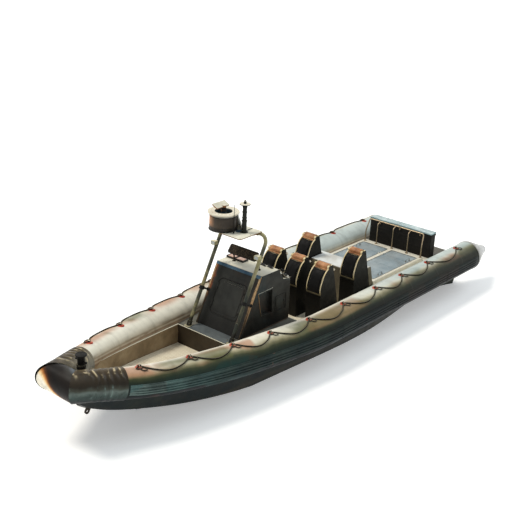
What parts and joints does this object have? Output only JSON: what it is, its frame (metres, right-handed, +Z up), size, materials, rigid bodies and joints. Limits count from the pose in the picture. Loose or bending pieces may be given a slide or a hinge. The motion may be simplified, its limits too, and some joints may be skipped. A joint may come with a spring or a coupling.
{
  "type": "rigid inflatable boat",
  "caption": "Open rigid inflatable boat with jockey seats, steering console, instrument arch and waterjet drive",
  "frame": {"origin": "on the centreline at the waterline, amidships", "axes": "+X forward, +Y to port, +Z up"},
  "size_m": [10.8722, 2.9726, 3.584],
  "materials": {
    "hull": "satin",
    "collar": "satin coated fabric",
    "chafe": "scuffed satin",
    "cone": "satin",
    "strake": "satin",
    "patch": "satin",
    "rope": "braided",
    "liner": "satin",
    "tread": "non-slip",
    "deck": "satin",
    "lid": "non-slip",
    "console": "satin",
    "dash": "matte",
    "display": "gloss",
    "trim_black": "matte",
    "step": "non-slip",
    "deflector": "satin",
    "arch": "satin",
    "plate": "satin",
    "lens": "clear",
    "scanner": "satin",
    "head": "satin",
    "mast": "satin",
    "pod": "satin",
    "pad": "grained",
    "steel": "brushed",
    "casing": "satin",
    "locker": "satin",
    "locker_top": "satin",
    "engine": "painted",
    "jet": "satin",
    "jet_metal": "cast"
  },
  "bodies": {
    "boat": {"aft_deck": "deck", "arch": "arch", "arch_clamps": "trim_black", "arch_plate": "plate", "bow_bollard": "steel", "chafe_sleeves": "chafe", "cockpit_liner": "liner", "cockpit_sole": "tread", "collar_bow": "chafe", "collar_port": "collar", "collar_starboard": "collar", "cones": "cone", "console": "console", "console_deck": "deck", "console_step": "step", "dash_panel": "dash", "displays": "display", "engine_casing": "casing", "engines": "engine", "floodlight_lenses": "lens", "floodlights": "trim_black", "fore_liner": "liner", "fore_sole": "tread", "grab_handles": "steel", "grab_lines": "rope", "guard_rail": "steel", "hull": "hull", "intake_grilles": "steel", "jet_housings": "jet", "line_patches": "patch", "locker_top": "locker_top", "rubbing_strakes": "strake", "scanner_drum": "scanner", "seat_pad_1": "pad", "seat_pad_2": "pad", "seat_pad_3": "pad", "seat_pad_4": "pad", "seat_pad_5": "pad", "seat_pod_1": "pod", "seat_pod_2": "pod", "seat_pod_3": "pod", "seat_pod_4": "pod", "seat_pod_5": "pod", "sensor_mast": "mast", "stern_locker": "locker", "throttles": "trim_black", "tow_eyes": "steel", "whip_aerial": "trim_black", "wind_deflector": "deflector"},
    "scanner_head": {"scanner_head": "head"},
    "console_hatch": {"console_hatch": "console"},
    "console_door_port": {"console_door_port": "console"},
    "console_door_starboard": {"console_door_starboard": "console"},
    "steering_wheel": {"steering_wheel": "trim_black"},
    "hatch_port": {"hatch_port": "lid"},
    "hatch_starboard": {"hatch_starboard": "lid"},
    "nozzle_port": {"nozzle_port": "jet_metal"},
    "nozzle_starboard": {"nozzle_starboard": "jet_metal"},
    "bucket_port": {"bucket_port": "jet_metal"},
    "bucket_starboard": {"bucket_starboard": "jet_metal"}
  },
  "joints": [
    {"name": "scanner_turn", "type": "hinge", "parent": "boat", "child": "scanner_head", "pos_m": [1.545, -0.2, 2.78], "axis": [0, 0, 1], "continuous": true},
    {"name": "console_hatch_hinge", "type": "hinge", "parent": "boat", "child": "console_hatch", "pos_m": [1.5945, -0.307, 1.19568], "axis": [0.4483, 0, -0.8939], "range_deg": [0, 95]},
    {"name": "console_door_port_hinge", "type": "hinge", "parent": "boat", "child": "console_door_port", "pos_m": [0.932, 0.531, 1.096], "axis": [0, 0, -1], "range_deg": [0, 110]},
    {"name": "console_door_starboard_hinge", "type": "hinge", "parent": "boat", "child": "console_door_starboard", "pos_m": [0.932, -0.531, 1.096], "axis": [0, 0, 1], "range_deg": [0, 110]},
    {"name": "helm", "type": "hinge", "parent": "boat", "child": "steering_wheel", "pos_m": [0.43103, 0, 1.2892], "axis": [-0.9397, 0, 0.342], "range_deg": [-450, 450]},
    {"name": "hatch_port_hinge", "type": "hinge", "parent": "boat", "child": "hatch_port", "pos_m": [-2.7225, 0.053, 0.781], "axis": [1, 0, 0], "range_deg": [0, 85]},
    {"name": "hatch_starboard_hinge", "type": "hinge", "parent": "boat", "child": "hatch_starboard", "pos_m": [-2.7225, -0.053, 0.781], "axis": [-1, 0, 0], "range_deg": [0, 85]},
    {"name": "nozzle_port_steer", "type": "hinge", "parent": "boat", "child": "nozzle_port", "pos_m": [-4.85, 0.42, -0.17], "axis": [0, 0, 1], "range_deg": [-27, 27]},
    {"name": "nozzle_starboard_steer", "type": "hinge", "parent": "boat", "child": "nozzle_starboard", "pos_m": [-4.85, -0.42, -0.17], "axis": [0, 0, 1], "range_deg": [-27, 27]},
    {"name": "bucket_port_drop", "type": "hinge", "parent": "nozzle_port", "child": "bucket_port", "pos_m": [-4.96, 0.42, -0.17], "axis": [0, -1, 0], "range_deg": [0, 73]},
    {"name": "bucket_starboard_drop", "type": "hinge", "parent": "nozzle_starboard", "child": "bucket_starboard", "pos_m": [-4.96, -0.42, -0.17], "axis": [0, -1, 0], "range_deg": [0, 73]}
  ],
  "couplings": [
    {"joint": "nozzle_starboard_steer", "follows": "nozzle_port_steer", "ratio": 1},
    {"joint": "helm", "follows": "nozzle_port_steer", "ratio": 16.667}
  ]
}
